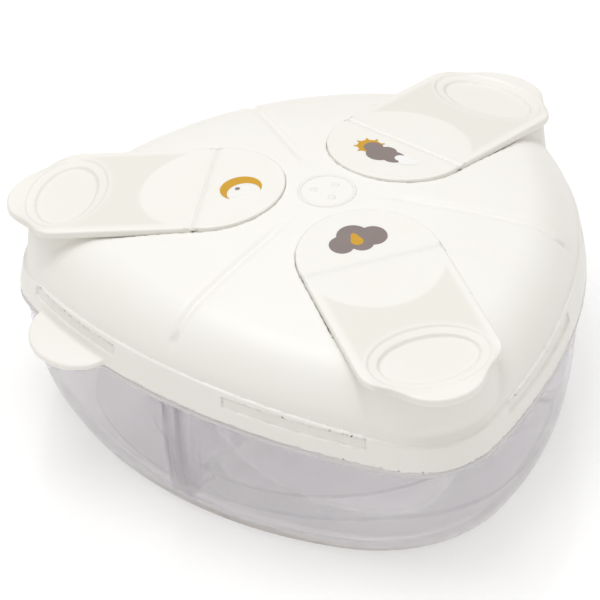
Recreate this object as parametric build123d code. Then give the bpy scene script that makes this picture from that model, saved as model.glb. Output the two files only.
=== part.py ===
from build123d import *
import os
from math import atan2, cos, degrees, radians, sin, tan

# A three-portion formula dispenser: a clear bowl on a rounded-triangle plan, a lift-out divider,
# a domed lid with three pour openings, and three flip caps on living hinges.
# Millimetres, +Z up. The origin is the middle of the bowl's underside, and the front corner
# of the triangle points along -Y.

CORNERS = (-90, 30, 150)  # directions of the three corners and their caps, degrees
CORNER_NAMES = ("front", "right", "left")
SIDE_TURN = 60  # from a corner to the middle of the next side, degrees

# Plan of the lid's drafted rim band, at REFERENCE_Z. The band grows outward below that height.
REFERENCE_Z = 42.1
CORNER_REACH = 73.1
SIDE_REACH = 59.8
CORNER_RADIUS = 24.0
RIM_DRAFT = 0.1835  # growth per millimetre of depth

# The rim dips at the corners: its edges lie on spheres about the object's axis.
RIM_SPHERE = 212.6  # the lid's lower edge
RIM_CENTRE_Z = -169.2
CREASE_SPHERE = 168.2  # the crease on top of the rim band
CREASE_CENTRE_Z = -115.4
RIM_GAP = 0.3  # between the bowl's flange and the lid
RIM_BAND_Z = (26.0, 46.0)  # heights between which the drafted band is built, before it is cut

# Lid.
LID_WALL = 1.5
DOME_TOP = 58.8
DOME_RADIUS = 205.4
SHOULDER_RADIUS = 10.0
SHOULDER_CORNER, SHOULDER_SIDE, SHOULDER_CORNER_RADIUS = 74.6, 60.1, 21.0
SCOOP_RADIUS, SCOOP_REACH, SCOOP_Z = 16.0, 84.5, 48.7  # hollow in front of each tower
POCKET_LOW, POCKET_HIGH = 3.3, 6.2  # above the lid's lower edge
POCKET_START, POCKET_END = 14.5, 44.5  # degrees from the nearest corner
POCKET_FLOOR = (74.1, 59.8, 25.0)  # plan of the pockets' back walls
TAB_PLACE, TAB_DIRECTION = (-63.5, 0.8), 196.0
TAB_HALF_WIDTH, TAB_REACH, TAB_THICKNESS = 14.3, 9.6, 1.5
EMBLEM_RADIUS, EMBLEM_RING, EMBLEM_RISE = 7.0, 0.8, 0.2
PIP_RADIUS, PIP_CIRCLE = 1.0, 3.1

# Bowl.
BOWL_WALL = 1.6
BOWL_FLOOR = 1.8
BOWL_EQUATOR = 35.8  # where the rounding of the wall starts
BOWL_TOP_PLAN = (73.8, 59.5, 24.7)
BOWL_FLOOR_PLAN = (63.7, 54.6, 34.0)
DRAW_IN_POWER, SINK_POWER = 1.32, 0.72  # superellipse of the bowl's rounding
BOWL_SECTIONS = 7
FLANGE_THICKNESS = 1.2
FLANGE_INSET = 0.25  # how far the flange stays inside the lid's outer face
NECK_WALL, NECK_RISE = 1.4, 4.0
LID_GAP = 0.35
GUIDE_INNER, GUIDE_THICKNESS, GUIDE_GAP = 51.5, 1.2, 0.3
GUIDE_TOP = 32.0

# Divider.
DIVIDER_WALL = 2.4
DIVIDER_REACH = 56.2
DIVIDER_GAP = 0.3
FOOT_WIDTH = 7.7  # from the wall's mid-plane to the end of its foot fillet
FOOT_RADIUS = FOOT_WIDTH - DIVIDER_WALL / 2
PLATE_RADIUS, PLATE_THICKNESS = 45.0, 1.0

# Caps, in each cap's own frame: u out from the object's axis, v across.
HINGE_U = 30.2
CAP_TOP_AT_HINGE = 57.1
CAP_THICKNESS = 2.0
ANCHOR_SLOPE, FLAP_SLOPE = 5.8, 7.1  # degrees, falling outward
ANCHOR_RADIUS, ANCHOR_CENTRE = 17.2, 27.3
FLAP_HALF_WIDTH, FLAP_STRAIGHT_END, FLAP_END_REACH = 17.3, 62.9, 10.0
LIP_CENTRE, LIP_REACH, LIP_HALF_WIDTH = 68.0, 9.5, 11.2
NOTCH_FILLET = 2.0
HINGE_GAP = 0.3
HINGE_FACE = HINGE_U - CAP_THICKNESS / 2 - HINGE_GAP  # where the anchor ends, facing the flap
HINGE_EDGE_RADIUS = CAP_THICKNESS / 2 - 0.02
HINGE_CHAMFER = 0.7
SEAT_GAP = 0.2  # between a closed flap and the lid's seat under it
SEAT_DEPTH = CAP_THICKNESS + SEAT_GAP
SEAT_SIDE_GAP = 0.4
SEAT_THICKNESS = 1.8
DISH_CENTRE, DISH_TOP, DISH_FLOOR = 63.0, (10.0, 14.8), (7.4, 12.2)  # half-axes along u and v
DISH_DEPTH = 1.2
PLUG, PLUG_DEPTH, PLUG_DRAFT, PLUG_WALL = (6.9, 12.8), 3.5, 0.4, 1.2
PLUG_CLEARANCE = 0.4
STUD_RADIUS, STUD_CLEARANCE, STUD_HEAD_RADIUS, STUD_HEAD = 2.0, 0.1, 2.7, 1.0
STUD_PLACES = ((19.5, -8.0), (19.5, 8.0))

# Towers that carry the pour openings.
TOWER_HALF_WIDTH, TOWER_END_REACH, TOWER_WALL = 15.8, 8.9, 1.2
TOWER_DISC_RADIUS = 16.4
TOWER_FOOT = 36.0
CHUTE_START = 35.0

TALL = 90.0  # longer than any height cut with it


def at_angle(reach, angle):
    """Point in plan at a distance from the axis and a direction in degrees."""
    return Vector(reach * cos(radians(angle)), reach * sin(radians(angle)))


def rounded_triangle(corner, side, corner_radius, z):
    """Horizontal face whose outline is three corner arcs joined by three long side arcs."""
    corner_centre = corner - corner_radius
    side_less_corner = side - corner_radius
    side_shift = (side_less_corner**2 - corner_centre**2) / (corner_centre - 2 * side_less_corner)
    tangent = degrees(
        atan2(
            side_shift * sin(radians(SIDE_TURN)),
            corner_centre + side_shift * cos(radians(SIDE_TURN)),
        )
    )
    arcs = []
    for direction in CORNERS:
        centre = at_angle(corner_centre, direction)
        before = centre + at_angle(corner_radius, direction - tangent)
        after = centre + at_angle(corner_radius, direction + tangent)
        following = at_angle(corner_centre, direction + 2 * SIDE_TURN)
        following += at_angle(corner_radius, direction + 2 * SIDE_TURN - tangent)
        arcs.append(ThreePointArc(before, at_angle(corner, direction), after))
        arcs.append(ThreePointArc(after, at_angle(side, direction + SIDE_TURN), following))
    return Pos(0, 0, z) * Face(Wire(arcs))


def lid_plan(offset, z):
    """Outline of the rim band at a height, moved outward by an offset."""
    growth = offset + (REFERENCE_Z - z) * RIM_DRAFT
    return rounded_triangle(
        CORNER_REACH + growth, SIDE_REACH + growth, CORNER_RADIUS + growth, z
    )


def upright(face, height):
    """Straight prism on a horizontal face."""
    return extrude(face, amount=height, dir=(0, 0, 1))


def drafted(offset, z_low, z_high):
    """Sloping solid that follows the rim band's outline, moved outward by an offset."""
    return loft([lid_plan(offset, z_low), lid_plan(offset, z_high)], ruled=True)


def under_rim(rise):
    """Ball whose top runs a distance above the lid's lower edge."""
    return Pos(0, 0, RIM_CENTRE_Z) * Sphere(RIM_SPHERE + rise)


def bowl_solid(inset, floor):
    """The bowl's rounded outside, shrunk by an inset and standing on a floor height."""
    sections = []
    for step in range(BOWL_SECTIONS):
        turn = radians(90 * step / (BOWL_SECTIONS - 1))
        drawn_in = 1 - abs(cos(turn)) ** DRAW_IN_POWER
        sunk = sin(turn) ** SINK_POWER
        if step == BOWL_SECTIONS - 1:
            drawn_in = sunk = 1
        sizes = [a + (b - a) * drawn_in - inset for a, b in zip(BOWL_TOP_PLAN, BOWL_FLOOR_PLAN)]
        sections.append(rounded_triangle(*sizes, BOWL_EQUATOR + (floor - BOWL_EQUATOR) * sunk))
    return loft(sections)


def on_side(shape, direction):
    """Turn a shape drawn along +X to a direction in plan."""
    return Rot(0, 0, direction) * shape


def base_bowl():
    """Clear bowl with a rim flange, a neck that enters the lid, and divider guides."""
    below_flange = under_rim(-RIM_GAP - FLANGE_THICKNESS)
    band_foot, band_head = RIM_BAND_Z
    neck_offset = -LID_WALL - LID_GAP
    body = bowl_solid(0, 0) & under_rim(-RIM_GAP)
    flange = drafted(-FLANGE_INSET, band_foot, band_head)
    body += (flange & under_rim(-RIM_GAP)) - below_flange
    neck = drafted(neck_offset, band_foot, band_head)
    throat = drafted(neck_offset - NECK_WALL, band_foot, band_head)
    body += (neck & under_rim(NECK_RISE)) - below_flange
    body -= bowl_solid(BOWL_WALL, BOWL_FLOOR) & below_flange
    body -= throat - under_rim(-RIM_GAP - FLANGE_THICKNESS - 0.5)
    inside = bowl_solid(BOWL_WALL / 2, BOWL_FLOOR / 2)
    v = DIVIDER_WALL / 2 + GUIDE_GAP + GUIDE_THICKNESS / 2
    for direction in CORNERS:
        for side in (-1, 1):
            rib = Pos((GUIDE_INNER + SIDE_REACH) / 2, side * v, GUIDE_TOP / 2)
            rib *= Box(SIDE_REACH - GUIDE_INNER, GUIDE_THICKNESS, GUIDE_TOP)
            body += on_side(rib, direction + SIDE_TURN) & inside
    return body


def foot_bar():
    """Divider wall's concave foot, as a bar along +X."""
    base = BOWL_FLOOR + DIVIDER_GAP
    top = base + PLATE_THICKNESS
    half = DIVIDER_WALL / 2
    elbow = FOOT_RADIUS * (1 - cos(radians(45)))
    profile = Polyline(
        (half, top + FOOT_RADIUS),
        (-half, top + FOOT_RADIUS),
    )
    left = ThreePointArc(
        (-half, top + FOOT_RADIUS), (-half - elbow, top + elbow), (-FOOT_WIDTH, top)
    )
    foot = Polyline((-FOOT_WIDTH, top), (-FOOT_WIDTH, base), (FOOT_WIDTH, base), (FOOT_WIDTH, top))
    right = ThreePointArc(
        (FOOT_WIDTH, top), (half + elbow, top + elbow), (half, top + FOOT_RADIUS)
    )
    face = Face(Wire([profile.edge(), left.edge(), *foot.edges(), right.edge()]))
    section = Plane(origin=(0, 0, 0), x_dir=(0, 1, 0), z_dir=(1, 0, 0)) * face
    return extrude(section, amount=PLATE_RADIUS, dir=(1, 0, 0))


def divider():
    """Three upright walls at 120 degrees on a thin round plate, with scooped feet."""
    base = BOWL_FLOOR + DIVIDER_GAP
    plate = Pos(0, 0, base + PLATE_THICKNESS / 2) * Cylinder(PLATE_RADIUS, PLATE_THICKNESS)
    feet = plate
    walls = None
    for direction in CORNERS:
        wall = Pos(DIVIDER_REACH / 2, 0, TALL / 2) * Box(DIVIDER_REACH, DIVIDER_WALL, TALL)
        wall = on_side(wall, direction + SIDE_TURN)
        walls = wall if walls is None else walls + wall
        feet += on_side(foot_bar(), direction + SIDE_TURN)
    feet &= Pos(0, 0, TALL / 2) * Cylinder(PLATE_RADIUS, TALL)
    # The divider stays inside the bowl below the rim, and inside the lid above it.
    room = bowl_solid(BOWL_WALL + DIVIDER_GAP, base)
    room += lid_dome(LID_WALL + LID_GAP, BOWL_EQUATOR - 1)
    return (walls + feet) & room


def lid_dome(inset, z_low):
    """Solid under the dome and its soft shoulder, shrunk by an inset."""
    plan = rounded_triangle(
        SHOULDER_CORNER - inset, SHOULDER_SIDE - inset, SHOULDER_CORNER_RADIUS - inset, z_low
    )
    ball = Pos(0, 0, DOME_TOP - DOME_RADIUS) * Sphere(DOME_RADIUS - inset)
    block = upright(plan, TALL - z_low) & ball
    shoulder = block.faces().sort_by(Axis.Z)[-1].edges()
    dome = fillet(shoulder, SHOULDER_RADIUS - inset)
    for direction in CORNERS:
        dome -= on_side(Pos(SCOOP_REACH, 0, SCOOP_Z) * Sphere(SCOOP_RADIUS + inset), direction)
    return dome


def lid_solid(inset):
    """The lid without its towers and before its lower edge is cut, shrunk by an inset."""
    band_foot, band_head = RIM_BAND_Z
    band = drafted(-inset, band_foot, band_head)
    crease = Pos(0, 0, CREASE_CENTRE_Z) * Sphere(CREASE_SPHERE - inset)
    dome = lid_dome(inset, band_foot) & upright(lid_plan(-inset, band_foot), TALL)
    return dome + (band & crease)


def cap_height(u, drop=0.0):
    """Height of the cap's top at u, less a drop."""
    slope = ANCHOR_SLOPE if u < HINGE_U else FLAP_SLOPE
    return CAP_TOP_AT_HINGE - (u - HINGE_U) * tan(radians(slope)) - drop


def cap_layer(drop_top, drop_low):
    """Slab across the whole cap between two depths below its top; no top depth means open above."""
    ends = (0.0, HINGE_U, 82.0)
    lower = [(u, cap_height(u, drop_low)) for u in ends]
    if drop_top is None:
        upper = [(ends[-1], TALL), (ends[0], TALL)]
    else:
        upper = [(u, cap_height(u, drop_top)) for u in reversed(ends)]
    face = Face(Wire(Polyline(*lower, *upper, close=True).edges()))
    section = Plane(origin=(0, 30, 0), x_dir=(1, 0, 0), z_dir=(0, -1, 0)) * face
    return extrude(section, amount=60, dir=(0, -1, 0))


def anchor_plan(offset):
    """Disc that the cap is fixed by."""
    return Pos(ANCHOR_CENTRE, 0) * Circle(ANCHOR_RADIUS + offset)


def flap_plan(offset, start):
    """Flap outline from a start line to its rounded end."""
    length = FLAP_STRAIGHT_END - start
    half = FLAP_HALF_WIDTH + offset
    plan = Pos(start + length / 2, 0) * Rectangle(length, 2 * half)
    return plan + Pos(FLAP_STRAIGHT_END, 0) * Ellipse(FLAP_END_REACH + offset, half)


def lip_plan(offset):
    """Thumb lip at the flap's outer end."""
    return Pos(LIP_CENTRE, 0) * Ellipse(LIP_REACH + offset, LIP_HALF_WIDTH + offset)


def prism(plan, z_low=0.0):
    """Upright prism on a plan, from a height to well above the lid."""
    return extrude(Pos(0, 0, z_low) * plan, amount=TALL - z_low, dir=(0, 0, 1))


def oval(half_axes, drop, shrink=0.0):
    """Oval parallel to the flap's top, at a drop below it."""
    seat = Pos(DISH_CENTRE, 0, cap_height(DISH_CENTRE, drop)) * Rot(0, FLAP_SLOPE, 0)
    return seat * Ellipse(half_axes[0] - shrink, half_axes[1] - shrink)


def oval_prism(half_axes, drop, depth, shrink=0.0, draft=0.0):
    """Solid between an oval at a drop and a smaller one a depth further down."""
    return loft([oval(half_axes, drop, shrink), oval(half_axes, drop + depth, shrink + draft)])


def cap_anchor():
    """Fixed half of a cap, with two snap studs that hold it in the lid."""
    solid = prism(anchor_plan(0)) & cap_layer(0, SEAT_DEPTH)
    solid -= Pos(HINGE_FACE + 30, 0, TALL / 2) * Box(60, 60, TALL)
    hinge_edge = solid.edges().filter_by(Axis.Y).sort_by(Axis.Z)[-1]
    solid = chamfer(hinge_edge, HINGE_CHAMFER)
    for u, v in STUD_PLACES:
        seat = cap_height(u, SEAT_DEPTH)
        shank = SEAT_THICKNESS + STUD_HEAD + 0.4
        solid += Pos(u, v, seat - shank / 2 + 0.2) * Cylinder(STUD_RADIUS, shank + 0.4)
        head_z = seat - shank + STUD_HEAD / 2
        solid += Pos(u, v, head_z) * Cylinder(STUD_HEAD_RADIUS, STUD_HEAD)
    return solid


def cap_flap():
    """Moving half of a cap: slab with a half-round hinge edge, lip, finger dish and plug."""
    plan = flap_plan(0, HINGE_U) + lip_plan(0)
    notches = [v for v in plan.vertices() if v.X > FLAP_STRAIGHT_END + 2 and abs(v.Y) > 4]
    plan = fillet(notches, NOTCH_FILLET)
    solid = prism(plan) & cap_layer(0, CAP_THICKNESS)
    edge = Rot(90, 0, 0) * Cylinder(HINGE_EDGE_RADIUS, 2 * FLAP_HALF_WIDTH)
    solid += Pos(HINGE_U, 0, CAP_TOP_AT_HINGE - CAP_THICKNESS / 2) * edge
    solid += oval_prism(PLUG, CAP_THICKNESS / 2, PLUG_DEPTH + CAP_THICKNESS / 2, draft=PLUG_DRAFT)
    solid -= oval_prism(
        PLUG, CAP_THICKNESS + 0.2, PLUG_DEPTH + 1, shrink=PLUG_WALL, draft=PLUG_DRAFT
    )
    dish = loft([oval(DISH_FLOOR, DISH_DEPTH), oval(DISH_TOP, 0), oval(DISH_TOP, -2)], ruled=True)
    return solid - dish


def tower_plan(offset, start):
    """Outline of a tower from a start line to its rounded end."""
    length = FLAP_STRAIGHT_END - start
    half = TOWER_HALF_WIDTH + offset
    plan = Pos(start + length / 2, 0) * Rectangle(length, 2 * half)
    return plan + Pos(FLAP_STRAIGHT_END, 0) * Ellipse(TOWER_END_REACH + offset, half)


def tower():
    """Raised body under a cap, up to the seat."""
    plan = tower_plan(0, HINGE_U) + Pos(ANCHOR_CENTRE, 0) * Circle(TOWER_DISC_RADIUS)
    return prism(plan, TOWER_FOOT) - cap_layer(None, SEAT_DEPTH)


def chute():
    """Room inside a tower, under its roof."""
    roof = cap_layer(None, SEAT_DEPTH + SEAT_THICKNESS)
    return prism(tower_plan(-TOWER_WALL, CHUTE_START), RIM_BAND_Z[0]) - roof


def pull_tab():
    """D-shaped tab on the rim's lower edge, to lift the lid by."""
    plan = Ellipse(TAB_REACH, TAB_HALF_WIDTH)
    plan &= Pos(TAB_REACH / 2, 0) * Rectangle(TAB_REACH, 2 * TAB_HALF_WIDTH)
    block = extrude(plan, amount=TALL, dir=(0, 0, 1))
    block = Pos(*TAB_PLACE, 0) * Rot(0, 0, TAB_DIRECTION) * block
    return (block & under_rim(TAB_THICKNESS)) - under_rim(0)


def pocket(direction):
    """Shallow recess in the rim band, between two directions."""
    middle = direction + (POCKET_START + POCKET_END) / 2
    half_turn = (POCKET_END - POCKET_START) / 2
    wedge = Polyline((0, 0), at_angle(TALL, -half_turn), at_angle(TALL, half_turn), close=True)
    block = on_side(extrude(Face(Wire(wedge.edges())), amount=TALL, dir=(0, 0, 1)), middle)
    block -= upright(rounded_triangle(*POCKET_FLOOR, 0), TALL)
    return (block & under_rim(POCKET_HIGH)) - under_rim(POCKET_LOW)


def lid_shell():
    """Domed lid: drafted rim with pockets and tab, three towers, cap seats and pour holes."""
    body = lid_solid(0)
    for direction in CORNERS:
        body += on_side(tower(), direction)
    hollow = lid_solid(LID_WALL)
    seat_backing = prism(flap_plan(0, HINGE_U) + anchor_plan(0), TOWER_FOOT)
    seat_backing &= cap_layer(SEAT_DEPTH, SEAT_DEPTH + SEAT_THICKNESS)
    for direction in CORNERS:
        hollow -= on_side(seat_backing, direction)
        hollow += on_side(chute(), direction)
    body += pull_tab()
    body -= hollow
    body -= under_rim(0)
    seat_plan = flap_plan(SEAT_SIDE_GAP, HINGE_FACE) + anchor_plan(SEAT_SIDE_GAP)
    seat = prism(seat_plan + lip_plan(SEAT_SIDE_GAP)) & cap_layer(None, SEAT_DEPTH)
    hole = oval_prism(PLUG, CAP_THICKNESS, SEAT_THICKNESS + 2, shrink=-PLUG_CLEARANCE)
    for direction in CORNERS:
        body -= on_side(seat, direction)
        body -= on_side(hole, direction)
        for u, v in STUD_PLACES:
            drill = Pos(u, v, TALL / 2) * Cylinder(STUD_RADIUS + STUD_CLEARANCE, TALL)
            body -= on_side(drill, direction)
        body -= pocket(direction)
        body -= pocket(direction - POCKET_START - POCKET_END)
    emblem = Cylinder(EMBLEM_RADIUS, 2) - Cylinder(EMBLEM_RADIUS - EMBLEM_RING, 2)
    for direction in CORNERS:
        pip = at_angle(PIP_CIRCLE, direction)
        emblem += Pos(pip.X, pip.Y, 0) * Cylinder(PIP_RADIUS, 2)
    return body + Pos(0, 0, DOME_TOP + EMBLEM_RISE - 1) * emblem


def write(shape, node):
    """Write one node's STEP file."""
    export_step(shape, f"parts/{node}.step")


os.makedirs("parts", exist_ok=True)
write(base_bowl(), "base_bowl")
write(divider(), "divider")
write(lid_shell(), "lid_shell")
for corner_name, corner_direction in zip(CORNER_NAMES, CORNERS):
    write(on_side(cap_anchor(), corner_direction), f"cap_anchor_{corner_name}")
    write(on_side(cap_flap(), corner_direction), f"cap_flap_{corner_name}")
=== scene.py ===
import math

import bpy
import numpy as np
from mathutils import Matrix, Vector


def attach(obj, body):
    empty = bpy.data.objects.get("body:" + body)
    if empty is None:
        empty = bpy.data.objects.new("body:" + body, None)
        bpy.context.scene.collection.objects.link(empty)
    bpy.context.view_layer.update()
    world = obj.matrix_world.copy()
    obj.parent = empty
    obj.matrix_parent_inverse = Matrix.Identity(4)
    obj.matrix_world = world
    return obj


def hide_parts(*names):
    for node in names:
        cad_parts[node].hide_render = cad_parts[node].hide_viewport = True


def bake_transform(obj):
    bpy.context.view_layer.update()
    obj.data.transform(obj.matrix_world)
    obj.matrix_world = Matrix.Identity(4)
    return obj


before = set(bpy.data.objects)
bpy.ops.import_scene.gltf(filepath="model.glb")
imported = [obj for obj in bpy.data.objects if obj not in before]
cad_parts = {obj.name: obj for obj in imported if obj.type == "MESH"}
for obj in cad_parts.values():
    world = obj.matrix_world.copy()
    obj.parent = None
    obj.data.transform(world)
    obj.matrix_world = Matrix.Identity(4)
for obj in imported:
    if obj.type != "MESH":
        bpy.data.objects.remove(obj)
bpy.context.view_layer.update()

# A formula dispenser: clear bowl and divider, ivory domed lid with three towers, and three flip
# caps on living hinges. Sizes are millimetres in the frame of the CAD model, and every mesh is
# scaled to metres when it is made. The front corner points along -Y.

MM = 0.001
FAR = 1e3

CORNERS = {"front": -90.0, "right": 30.0, "left": 150.0}  # direction of each corner, degrees
SECTOR = 120.0

# Plan of the lid's drafted rim band at BAND_Z: reach of a corner, reach of a side, corner radius.
BAND, BAND_Z, BAND_DRAFT = (73.1, 59.8, 24.0), 42.1, 0.1835
BAND_LEAN = math.cos(math.atan(BAND_DRAFT))
# The lid's lower edge lies on a sphere about the axis, so it dips at the corners.
RIM_SPHERE, RIM_CENTRE = 212.6, -169.2
RIM_ROUND = 0.3
SHOULDER, SHOULDER_RADIUS = (76.3, 60.8, 15.7), 14.0
DOME_TOP, DOME_RADIUS = 58.8, 225.0
# Ring-shaped hollow in front of the towers, as far as GROOVE_WIDTH to each side of a corner.
GROOVE_REACH, GROOVE_Z, GROOVE_RADIUS, GROOVE_WIDTH = 79.8, 49.3, 14.0, 20.5
GROOVE_ROUND = 0.5
# The crease is a narrow ledge on top of the band. It lies on a sphere too.
CREASE_SPHERE, CREASE_CENTRE, LEDGE = 168.2, -115.05, 0.5
CREASE_ROUND, LEDGE_ROUND = 0.25, 0.5
LID_WALL, RIM_WALL = 1.5, 1.7
# Soft valleys of the dome over the divider's walls, and where they fade in along reach and height.
VALLEY_DEPTH, VALLEY_WIDTH = 0.8, 1.1
VALLEY_REACH, VALLEY_Z = (10, 24), (42, 52)
# Pockets: heights over the lid's lower edge, and degrees from the nearest corner.
POCKET_RISE, POCKET_TURN = (3.3, 5.6), (14.5, 44.5)
POCKET_DEPTH, POCKET_ROUND = 0.5, 0.15
# The pull tab's middle on the plan, and the direction in degrees that it points in.
TAB_PLACE, TAB_OUT = (-63.5, 0.8), 196.0
TAB_HALF_WIDTH, TAB_REACH, TAB_THICKNESS = 14.3, 9.6, 1.5
TAB_ROUND, TAB_ROOT_ROUND = 0.5, 0.6

# Caps, in each cap's own frame: u out from the axis of the object, v across.
HINGE_U, HINGE_TOP = 30.2, 57.1
ANCHOR_SLOPE, FLAP_SLOPE = math.radians(5.8), math.radians(7.1)
CAP_THICKNESS, SEAT_GAP, SEAT_THICKNESS = 2.0, 0.2, 1.8
SEAT_DEPTH = CAP_THICKNESS + SEAT_GAP
HINGE_GAP = 0.3
HINGE_FACE = HINGE_U - CAP_THICKNESS / 2 - HINGE_GAP
SEAT_SIDE_GAP, SEAT_ROUND = 0.05, 0.25
ANCHOR_CENTRE, ANCHOR_RADIUS, ANCHOR_ROUND = 27.3, 17.2, 0.35
HINGE_FACE_ROUND = 0.4
FLAP_HALF_WIDTH, FLAP_STRAIGHT_END, FLAP_END_REACH = 17.3, 62.9, 10.0
FLAP_ROUND, HINGE_END_ROUND, HINGE_SLACK = 0.6, 0.5, 0.02
LIP_CENTRE, LIP_REACH, LIP_HALF_WIDTH, NOTCH_ROUND = 68.0, 9.5, 11.2, 2.0
DISH_U, DISH_OUTER, DISH_INNER = 63.0, (10.0, 14.8), (7.4, 12.2)
DISH_STEP, LEDGE_FALL, DISH_SINK = 0.4, 0.15, 0.65
PLUG, PLUG_WALL, PLUG_DEPTH, PLUG_CLEARANCE = (6.9, 12.8), 1.2, 3.5, 0.4
PLUG_ROUND, HOLE_FLOOR = 0.8, 40.0
TOWER_HALF_WIDTH, TOWER_END_REACH, TOWER_WALL = 15.8, 8.9, 1.2
TOWER_DISC_RADIUS, CHUTE_START, CHUTE_OVERCUT = 16.4, 35.0, 1.0
# Painted shade of a flap over its hollow tower: its share at the dish, and where it fades out at
# the tip.
UNDER_DISH, UNDER_END, UNDER_FADE = 0.35, 75.0, 6
TOWER_DRAFT, TOWER_DRAFT_DEPTH = 0.1, 9.0  # spread per millimetre of depth, and how deep it goes
TOWER_ROUND, TOWER_ROOT_ROUND = 0.3, 1.0
STUD_U, STUD_V, STUD_RADIUS, STUD_CLEARANCE = 19.5, 8.0, 2.0, 0.1
STUD_LENGTH, STUD_HOLE_FLOOR = 5.4, 45.0
STUD_HEAD_RADIUS, STUD_HEAD_DEPTH, STUD_HEAD_HEIGHT = 2.7, 4.95, 1.0
WEB_THICKNESS, WEB_REACH, WEB_CENTRE_U = 0.8, 1.7, HINGE_U - 0.6
WEB_RISE, WEB_SIDE_GAP = 0.02, 0.05
WEB_GROOVE, WEB_GROOVE_WIDTH = 0.3, 0.5
PRINT_U, PRINT_RISE, PRINT_LAYER, PRINT_SINK = ANCHOR_CENTRE - 6.6, 0.05, 0.02, 0.25
EMBLEM_REACH, EMBLEM_HALF_WIDTH, EMBLEM_RISE = 6.6, 0.45, 0.18
PIP_CIRCLE, PIP_RADIUS, PIP_TOP_RADIUS, PIP_SINK, PIP_HEIGHT = 3.1, 1.05, 0.02, 0.1, 0.28

# Bowl.
BOWL_EQUATOR, BOWL_FLOOR, BOWL_WALL = 35.8, 1.8, 1.6
BOWL_RIM = (73.8, 59.5, 24.7)
BOWL_BASE = (63.7, 54.6, 34.0)
DRAW_IN_POWER, SINK_POWER = 1.32, 0.72
RIM_GAP, FLANGE_THICKNESS, FLANGE_INSET = 0.1, 1.3, 0.25
NECK_OFFSET, NECK_WALL, NECK_RISE = -1.85, 1.4, 4.0
FLANGE_BEVEL, NECK_BEVEL = 0.25, 0.2
INSIDE_DROP = 0.8  # from the wall's top to the top of its inner side
WALL_TOP_OFFSET, WALL_TOP_GAP, LEVEL_POWER = -1.0, 0.01, 1.6
GUIDE_INNER, GUIDE_THICKNESS, GUIDE_V, GUIDE_BEVEL = 51.5, 1.2, 2.1, 0.3
GUIDE_LOW, GUIDE_TOP, GUIDE_ROOT = 3.5, 32.0, 0.4

# Boxes round the fields, and fineness of the meshes.
LID_BOX = (-76.5, -77.5, 28.5), (70.5, 67.5, DOME_TOP + 1)
FLAP_BOX = (HINGE_U - 2, -18.5, 44), (78.5, 18.5, HINGE_TOP + 1)
ANCHOR_BOX = (9, -18.5, 50), (HINGE_FACE + 1, 18.5, 60.2)
LID_CELL, CAP_CELL, LID_TRIANGLES = 0.5, 0.35, 188_000
SLAB_POINTS = 4e5  # grid points worked out at a time
SETTLE_TIMES, SETTLE_REACH, SETTLE_SHARE = 3, 0.05, 0.3
NORMAL_REACH = 0.12
BOWL_SEGMENTS, BOWL_RINGS, GUIDE_RINGS, GUIDE_SIDES = 480, 30, 24, 6
WEB_ROWS, WEB_STEPS = 36, 15
RING_SEGMENTS, RING_SIDES, PIP_SEGMENTS, PIP_RINGS = 96, 12, 24, 6


# ---------------------------------------------------------------- fields

def fold(x, y):
    """Each point seen from the nearest corner: u along that corner's direction, v across it."""
    turn = np.degrees(np.arctan2(y, x)) - CORNERS["front"]
    turn = (turn + SECTOR / 2) % SECTOR - SECTOR / 2
    reach = np.hypot(x, y)
    return reach * np.cos(np.radians(turn)), reach * np.sin(np.radians(turn)), turn


def triangle_arcs(sizes):
    """Centre of a corner arc, and shift and radius of the side arcs that join it smoothly."""
    corner, side, radius = sizes
    centre = corner - radius
    gap = side - radius
    shift = (gap**2 - centre**2) / (centre - 2 * gap)
    return centre, shift, side + shift


def triangle(u, v, sizes):
    """Distance to a rounded triangle's outline, from folded coordinates."""
    centre, shift, side_radius = triangle_arcs(sizes)
    v = np.abs(v)
    half, high = shift * 0.5, shift * math.sqrt(0.75)
    on_corner = (centre + half) * (v + high) - high * (u + half) < 0
    to_corner = np.hypot(u - centre, v) - sizes[2]
    to_side = np.hypot(u + half, v + high) - side_radius
    return np.where(on_corner, to_corner, to_side)


def oval(u, v, centre, half_axes):
    """Distance to an oval's outline, good near the outline."""
    a, b = half_axes
    p, q = (u - centre) / a, v / b
    k = np.sqrt(p * p + q * q) + 1e-6
    slope = np.sqrt((p / a) ** 2 + (q / b) ** 2) + 1e-6
    return k * (k - 1) / slope


def tongue(u, v, start, end, reach, half_width):
    """Distance to a strip from u = start to u = end that finishes in half an oval."""
    straight = np.maximum(np.abs(v) - half_width, start - u)
    return np.where(u > end, oval(u, v, end, (reach, half_width)), straight)


def round_and(a, b, radius):
    """Intersection of two fields with its edge rounded."""
    corner = np.hypot(np.maximum(a + radius, 0), np.maximum(b + radius, 0)) - radius
    return np.minimum(np.maximum(a, b), -radius) * (np.maximum(a, b) < -radius) + corner * (
        np.maximum(a, b) >= -radius
    )


def round_or(a, b, radius):
    """Union of two fields with its valley rounded."""
    return -round_and(-a, -b, radius)


def step(x, low, high):
    """Smooth rise from 0 at low to 1 at high."""
    t = np.clip((x - low) / (high - low), 0, 1)
    return t * t * (3 - 2 * t)


def anchor_height(u):
    """Height of the top of a cap's fixed half."""
    return HINGE_TOP + (HINGE_U - u) * math.tan(ANCHOR_SLOPE)


def above_cap(u, z):
    """Distance above the plane of the cap's top."""
    anchor = (z - anchor_height(u)) * math.cos(ANCHOR_SLOPE)
    flap = (z - HINGE_TOP + (u - HINGE_U) * math.tan(FLAP_SLOPE)) * math.cos(FLAP_SLOPE)
    return np.where(u < HINGE_U, anchor, flap)


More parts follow.
